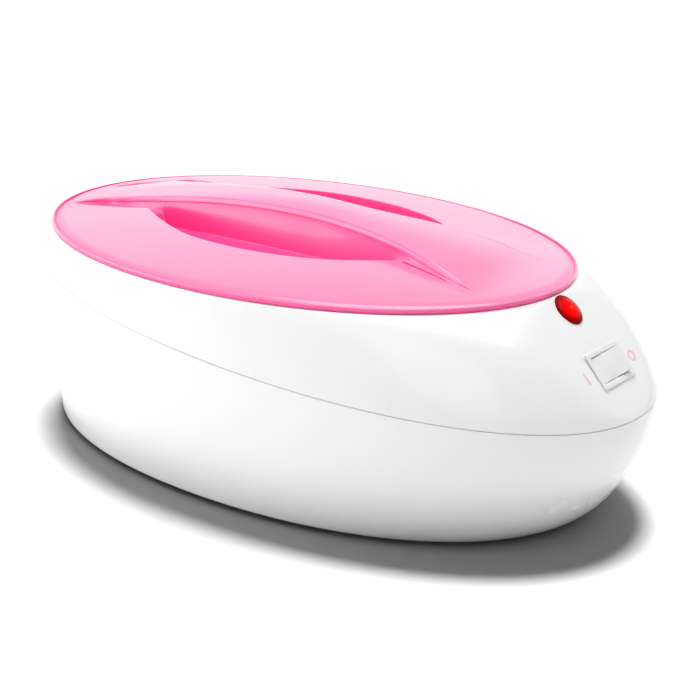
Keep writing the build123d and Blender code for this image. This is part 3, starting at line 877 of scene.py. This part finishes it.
def place_noise(nodes, links, scale, detail=3.0, stretch=(1, 1, 1)):
    """Noise in the object's own coordinates."""
    where = nodes.new("ShaderNodeTexCoord")
    mapping = nodes.new("ShaderNodeMapping")
    mapping.inputs["Scale"].default_value = stretch
    noise = nodes.new("ShaderNodeTexNoise")
    noise.inputs["Scale"].default_value = scale
    noise.inputs["Detail"].default_value = detail
    links.new(where.outputs["Object"], mapping.inputs["Vector"])
    links.new(mapping.outputs["Vector"], noise.inputs["Vector"])
    return noise


def ramp(nodes, links, source, stops):
    """Colours along a value, from (place, colour) stops."""
    made = nodes.new("ShaderNodeValToRGB")
    elements = made.color_ramp.elements
    while len(elements) < len(stops):
        elements.new(0.5)
    for element, (place, colour) in zip(elements, stops):
        element.position = place
        element.color = (*colour, 1)
    links.new(source, made.inputs["Fac"])
    return made


def spread(nodes, links, source, low, high):
    """A value from 0 to 1 taken to the range from low to high."""
    made = nodes.new("ShaderNodeMapRange")
    made.inputs["To Min"].default_value = low
    made.inputs["To Max"].default_value = high
    links.new(source, made.inputs["Value"])
    return made.outputs["Result"]


def bump(nodes, links, shader, source, strength, distance):
    """A fine relief on the shader's normal."""
    made = nodes.new("ShaderNodeBump")
    made.inputs["Strength"].default_value = strength
    made.inputs["Distance"].default_value = distance
    links.new(source, made.inputs["Height"])
    links.new(made.outputs["Normal"], shader.inputs["Normal"])


def plain(name, dark, light, rough, scale=60.0, stretch=(1, 1, 1), metal=0.0, grain=0.1, depth=0.00005):
    """A material with a drifting colour, an uneven polish and a fine grain."""
    made, nodes, links, shader = new_material(name)
    broad = place_noise(nodes, links, scale, 4.0, stretch)
    fine = place_noise(nodes, links, scale * 18, 2.0, stretch)
    tint = ramp(nodes, links, broad.outputs["Fac"], [(0.3, dark), (0.7, light)])
    links.new(tint.outputs["Color"], shader.inputs["Base Color"])
    links.new(spread(nodes, links, broad.outputs["Fac"], rough[0], rough[1]), shader.inputs["Roughness"])
    shader.inputs["Metallic"].default_value = metal
    bump(nodes, links, shader, fine.outputs["Fac"], grain, depth)
    return made


def white_plastic():
    """Glossy white moulded plastic with a faint cloudiness and a very fine orange peel."""
    made = plain("white_plastic", (0.86, 0.862, 0.865), (0.885, 0.885, 0.885), (0.2, 0.3), 9.0,
                 grain=0.04, depth=0.00004)
    shader = made.node_tree.nodes["Principled BSDF"]
    shader.inputs["Coat Weight"].default_value = 0.35
    shader.inputs["Coat Roughness"].default_value = 0.08
    return made


def pink_plastic():
    """Milky pink plastic with painted light: a paler painted sheen on the far side, deep pink painted shade
    in the pockets, grooves and rim band, and a painted pink glow where that shade is deepest.
    """
    made, nodes, links, shader = new_material("pink_plastic")
    # The lid's per-point value picks the painted shade: higher values paint a deeper pink.
    warm = nodes.new("ShaderNodeAttribute")
    warm.attribute_name = "warmth"
    deeper = [(0.4, (0.96, 0.12, 0.39)), (0.8, (0.93, 0.07, 0.32)), (1.0, (0.82, 0.008, 0.20))]
    tint = ramp(nodes, links, warm.outputs["Fac"], [(0.0, (0.96, 0.20, 0.41)), *deeper])
    pale = ramp(nodes, links, warm.outputs["Fac"], [(0.0, (0.96, 0.29, 0.53)), *deeper])
    # Painted sheen: the pink is mixed towards the paler ramp from the near side to the far side along y.
    where = nodes.new("ShaderNodeTexCoord")
    split = nodes.new("ShaderNodeSeparateXYZ")
    across = nodes.new("ShaderNodeMapRange")
    across.inputs["From Min"].default_value = -0.045
    across.inputs["From Max"].default_value = 0.045
    links.new(where.outputs["Object"], split.inputs["Vector"])
    links.new(split.outputs["Y"], across.inputs["Value"])
    painted_paling = linked_mix(nodes, links, across.outputs["Result"], tint.outputs["Color"])
    links.new(pale.outputs["Color"], painted_paling.inputs["B"])
    # Painted glow: where the painted shade value passes one half, the lid gives off a pink glow, though it is
    # no lamp; it also tints the white housing under the rim.
    glow = ramp(nodes, links, warm.outputs["Fac"], [(0.5, (0, 0, 0)), (1.0, (0.9, 0.01, 0.22))])
    links.new(glow.outputs["Color"], shader.inputs["Emission Color"])
    shader.inputs["Emission Strength"].default_value = 0.22
    cloud = place_noise(nodes, links, 14.0, 4.0)
    faint = spread(nodes, links, cloud.outputs["Fac"], 0.0, 0.10)
    blend = linked_mix(nodes, links, faint, painted_paling.outputs["Result"])
    blend.blend_type = "MULTIPLY"
    blend.inputs["B"].default_value = (1.0, 0.86, 0.92, 1)
    links.new(blend.outputs["Result"], shader.inputs["Base Color"])
    links.new(spread(nodes, links, cloud.outputs["Fac"], 0.16, 0.24), shader.inputs["Roughness"])
    shader.inputs["Coat Weight"].default_value = 0.15
    shader.inputs["Coat Roughness"].default_value = 0.06
    shader.inputs["Sheen Weight"].default_value = 0.22
    shader.inputs["Sheen Roughness"].default_value = 0.4
    fine = place_noise(nodes, links, 700.0, 2.0)
    bump(nodes, links, shader, fine.outputs["Fac"], 0.03, 0.00004)
    return made


def red_lens_material():
    """Lit red plastic: dark at the rim, glowing in the middle, with fine moulded prisms."""
    made, nodes, links, shader = new_material("red_lens")
    where = nodes.new("ShaderNodeTexCoord")
    away = nodes.new("ShaderNodeVectorMath")
    away.operation = "DISTANCE"
    spot = LAMP[:3, 3] + LAMP[:3, 2] * LENS[2]
    away.inputs[1].default_value = (spot[0] * MM + LID_X, spot[1] * MM, spot[2] * MM)
    links.new(where.outputs["Object"], away.inputs[0])
    scaled = nodes.new("ShaderNodeMapRange")
    scaled.inputs["From Max"].default_value = 0.0085
    links.new(away.outputs["Value"], scaled.inputs["Value"])
    # Painted lamp light: both the base colour and the glow fall off from the middle of the lens to its rim,
    # as if lit by the bulb behind it.
    tint = ramp(nodes, links, scaled.outputs["Result"],
                [(0.0, (0.9, 0.0, 0.0)), (0.6, (0.45, 0.0, 0.0)), (1.0, (0.14, 0.0, 0.0))])
    links.new(tint.outputs["Color"], shader.inputs["Base Color"])
    glow = ramp(nodes, links, scaled.outputs["Result"],
                [(0.05, (1.0, 0.16, 0.0)), (0.1, (1.0, 0.0, 0.0)), (0.55, (0.8, 0.0, 0.0)),
                 (0.8, (0.15, 0.0, 0.0))])
    links.new(glow.outputs["Color"], shader.inputs["Emission Color"])
    shader.inputs["Emission Strength"].default_value = 0.6
    grain = place_noise(nodes, links, 260.0, 2.0)
    links.new(spread(nodes, links, grain.outputs["Fac"], 0.05, 0.16), shader.inputs["Roughness"])
    shader.inputs["Specular IOR Level"].default_value = 0.03
    bump(nodes, links, shader, grain.outputs["Fac"], 0.08, 0.0001)
    return made


def clear_glass():
    """The neon bulb's glass."""
    made, nodes, links, shader = new_material("lamp_glass")
    grain = place_noise(nodes, links, 120.0, 2.0)
    tint = ramp(nodes, links, grain.outputs["Fac"], [(0.3, (0.9, 0.93, 0.95)), (0.7, (1, 1, 1))])
    links.new(tint.outputs["Color"], shader.inputs["Base Color"])
    links.new(spread(nodes, links, grain.outputs["Fac"], 0.0, 0.05), shader.inputs["Roughness"])
    shader.inputs["Transmission Weight"].default_value = 0.9
    shader.inputs["IOR"].default_value = 1.5
    return made


def glass_fibre():
    """Tan glass-fibre felt with crossed strands."""
    made, nodes, links, shader = new_material("glass_fibre")
    along = place_noise(nodes, links, 220.0, 3.0, (1, 9, 9))
    across = place_noise(nodes, links, 220.0, 3.0, (9, 1, 9))
    join = nodes.new("ShaderNodeMath")
    join.operation = "MAXIMUM"
    links.new(along.outputs["Fac"], join.inputs[0])
    links.new(across.outputs["Fac"], join.inputs[1])
    tint = ramp(nodes, links, join.outputs["Value"],
                [(0.4, (0.55, 0.47, 0.33)), (0.75, (0.86, 0.82, 0.7))])
    links.new(tint.outputs["Color"], shader.inputs["Base Color"])
    links.new(spread(nodes, links, join.outputs["Value"], 0.95, 0.75), shader.inputs["Roughness"])
    shader.inputs["Sheen Weight"].default_value = 0.3
    bump(nodes, links, shader, join.outputs["Value"], 0.6, 0.0004)
    return made


def finishes():
    """Each CAD piece that still shows, with its material."""
    brushed = plain("tank_aluminium", (0.62, 0.63, 0.65), (0.76, 0.77, 0.78), (0.22, 0.42), 14,
                    (1, 12, 12), 1.0)
    plate = plain("plate_aluminium", (0.55, 0.56, 0.58), (0.7, 0.7, 0.72), (0.35, 0.5), 18,
                  (10, 1, 10), 1.0)
    steel = plain("bright_steel", (0.52, 0.53, 0.55), (0.68, 0.69, 0.7), (0.18, 0.35), 60, (1, 1, 6), 1.0)
    heater = plain("heater_steel", (0.16, 0.14, 0.13), (0.34, 0.29, 0.25), (0.35, 0.6), 40, (1, 1, 1), 0.9)
    brass = plain("brass_blades", (0.62, 0.42, 0.14), (0.8, 0.6, 0.26), (0.22, 0.4), 90, (1, 6, 1), 1.0)
    silicone = plain("silicone", (0.42, 0.42, 0.43), (0.55, 0.55, 0.56), (0.55, 0.75), 50, grain=0.2)
    rubber = plain("foot_rubber", (0.02, 0.02, 0.022), (0.05, 0.05, 0.052), (0.6, 0.85), 80, grain=0.3)
    phenolic = plain("thermostat_body", (0.025, 0.018, 0.015), (0.07, 0.05, 0.04), (0.3, 0.5), 150,
                     grain=0.2)
    nylon = plain("block_plastic", (0.75, 0.74, 0.68), (0.86, 0.85, 0.8), (0.35, 0.5), 45)
    holder = plain("holder_plastic", (0.7, 0.7, 0.7), (0.82, 0.82, 0.82), (0.3, 0.45), 60)
    gland = plain("gland_plastic", (0.72, 0.72, 0.72), (0.84, 0.84, 0.84), (0.28, 0.42), 70)
    lead = plain("lead_insulation", (0.6, 0.58, 0.54), (0.78, 0.76, 0.72), (0.4, 0.6), 120,
                 grain=0.25)
    fibre = glass_fibre()
    glass = clear_glass()
    return {
        "wax_tank": (brushed, "tank_aluminium"), "tank_gasket": (silicone, "silicone"),
        "heater_plate": (plate, "plate_aluminium"), "heater_element": (heater, "heater_steel"),
        "heater_clips": (steel, "bright_steel"), "heater_studs": (steel, "bright_steel"),
        "heater_nuts": (steel, "bright_steel"), "insulation_blanket": (fibre, "glass_fibre"),
        "insulation_pad": (fibre, "glass_fibre"), "heat_shield": (plate, "plate_aluminium"),
        "support_bars": (steel, "bright_steel"), "thermostat": (phenolic, "thermostat_body"),
        "thermal_fuse": (steel, "bright_steel"), "fuse_clip": (steel, "bright_steel"),
        "lamp_holder": (holder, "holder_plastic"), "lamp_bulb": (glass, "lamp_glass"),
        "lamp_resistor": (phenolic, "thermostat_body"), "switch_terminals": (brass, "brass_blades"),
        "cord_gland": (gland, "gland_plastic"), "terminal_block": (nylon, "block_plastic"),
        "terminal_screws": (steel, "bright_steel"), "lead_supply": (lead, "lead_insulation"),
        "lead_switched": (lead, "lead_insulation"), "lead_return": (lead, "lead_insulation"),
        "lead_lamp": (lead, "lead_insulation"), "feet": (rubber, "foot_rubber"),
        "housing_screws": (steel, "bright_steel"),
    }


def dress(piece, material, body=None, node=None):
    """Gives a piece its material and, where they are named, its body, and hides the CAD node that it stands
    in for.
    """
    piece.data.materials.clear()
    piece.data.materials.append(material)
    if body:
        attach(piece, body)
    if node:
        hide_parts(node)


def finish_cad():
    """Materials for the CAD pieces that still show."""
    for name, (material, slot) in finishes().items():
        dress(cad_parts[name], material)


# ------------------------------------------------------------------ studio
def floor():
    """A plain pale floor."""
    half = 4000
    points = [(-half, -half, 0), (half, -half, 0), (half, half, 0), (-half, half, 0)]
    piece = mesh_from("floor", points, [(0, 1, 2, 3)])
    made, nodes, links, shader = new_material("floor_paper")
    grain = place_noise(nodes, links, 30.0, 2.0)
    tint = ramp(nodes, links, grain.outputs["Fac"], [(0.3, (0.55, 0.55, 0.55)), (0.7, (0.56, 0.56, 0.56))])
    links.new(tint.outputs["Color"], shader.inputs["Base Color"])
    shader.inputs["Roughness"].default_value = 1.0
    shader.inputs["Specular IOR Level"].default_value = 0.0
    dress(piece, made)
    piece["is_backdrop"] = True
    return piece


def sky():
    """A white surround that shows and is reflected, but gives no diffuse light."""
    mesh = bpy.data.meshes.new("sky")
    work = bmesh.new()
    bmesh.ops.create_uvsphere(work, u_segments=48, v_segments=24, radius=3.9)
    work.to_mesh(mesh)
    work.free()
    piece = bpy.data.objects.new("sky", mesh)
    bpy.context.scene.collection.objects.link(piece)
    made = bpy.data.materials.new("sky_white")
    made.use_nodes = True
    nodes, links = made.node_tree.nodes, made.node_tree.links
    nodes.remove(nodes["Principled BSDF"])
    glow = nodes.new("ShaderNodeEmission")
    glow.inputs["Strength"].default_value = 1.0
    links.new(glow.outputs["Emission"], nodes["Material Output"].inputs["Surface"])
    piece.data.materials.append(made)
    piece.visible_diffuse = False
    piece.visible_shadow = False
    piece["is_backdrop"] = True
    return piece


def aim(lamp, target):
    """Turns a lamp to face a target."""
    away = Vector(target) - lamp.location
    lamp.rotation_mode = "QUATERNION"
    lamp.rotation_quaternion = away.to_track_quat("-Z", "Y")


def add_lamp(name, data, place, target, receivers):
    """A lamp at a place, facing a target, that lights only its receivers."""
    lamp = bpy.data.objects.new(name, data)
    bpy.context.scene.collection.objects.link(lamp)
    lamp.location = place
    aim(lamp, target)
    lamp.light_linking.receiver_collection = receivers


def softbox(name, place, size, power, receivers):
    """A broad area light that faces the middle of the object."""
    data = bpy.data.lights.new(name, "AREA")
    data.shape = "RECTANGLE"
    data.size, data.size_y = size
    data.energy = power
    add_lamp(name, data, place, (0, 0, 0.07), receivers)


def sun(name, direction, strength, spread_deg, receivers):
    """A soft sun from a direction."""
    data = bpy.data.lights.new(name, "SUN")
    data.energy = strength
    data.angle = math.radians(spread_deg)
    add_lamp(name, data, Vector(direction) * 3, (0, 0, 0), receivers)


def studio(ground):
    """A faint white world, a soft sun for the floor, and four softboxes for the object."""
    world = bpy.data.worlds.new("studio")
    bpy.context.scene.world = world
    world.use_nodes = True
    backdrop = world.node_tree.nodes["Background"]
    backdrop.inputs["Color"].default_value = (1, 1, 1, 1)
    backdrop.inputs["Strength"].default_value = 0.10
    only_floor = bpy.data.collections.new("only_floor")
    only_floor.objects.link(ground)
    only_object = bpy.data.collections.new("only_object")
    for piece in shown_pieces():
        only_object.objects.link(piece)
    sun("floor_sun", (-0.13, 0.20, 1.3), 6.6, 15, only_floor)
    softbox("key", (-1.25, -1.0, 0.45), (1.2, 0.8), 17.5, only_object)
    softbox("top", (0.1, 0.1, 1.7), (1.4, 1.4), 30, only_object)
    softbox("back", (-0.75, 0.95, 0.62), (1.1, 0.5), 0.8, only_object)
    softbox("fill", (0.9, -1.2, 0.9), (1.0, 1.0), 3.5, only_object)


def camera():
    """The photograph's angle: a long lens, 40 degrees round to the right and 18 above."""
    turn, rise, far = math.radians(40.1496), math.radians(18.0911), 0.8434
    target = Vector((LID_X, 0, 0.0835))
    data = bpy.data.cameras.new("camera")
    data.sensor_width = 36.0
    data.lens = 77.143
    data.shift_x, data.shift_y = 0.0710, -0.0777
    data.clip_start, data.clip_end = 0.01, 50
    eye = bpy.data.objects.new("camera", data)
    bpy.context.scene.collection.objects.link(eye)
    back = Vector((math.sin(turn) * math.cos(rise), -math.cos(turn) * math.cos(rise), math.sin(rise)))
    eye.location = target + back * far
    eye.rotation_mode = "QUATERNION"
    eye.rotation_quaternion = (-back).to_track_quat("-Z", "Y")
    bpy.context.scene.camera = eye
    bpy.context.scene.view_settings.view_transform = "Standard"


# ------------------------------------------------------------------ assembly
def build():
    """Every visible piece: CAD pieces with their finishes, and the finer meshes that replace the rest."""
    white = white_plastic()
    pink = pink_plastic()
    finish_cad()
    dress(lower_shell(), white, "bath", "lower_housing")
    dress(upper_shell(), white, "bath", "upper_housing")
    dress(lid_mesh(), pink, "lid", "lid")
    case_white = plain("switch_white", (0.80, 0.80, 0.80), (0.84, 0.84, 0.84), (0.25, 0.35), 50,
                       grain=0.05)
    dress(switch_case(), case_white, "bath", "switch_body")
    dress(rocker(), case_white, "rocker", "switch_rocker")
    dress(lamp_lens(), red_lens_material(), "bath", "lamp_lens")
    ink = plain("mark_ink", (0.93, 0.45, 0.55), (0.95, 0.52, 0.6), (0.4, 0.5), 200)
    for mark in marks():
        dress(mark, ink, "bath")


camera()
ground = floor()
sky()
build()
studio(ground)
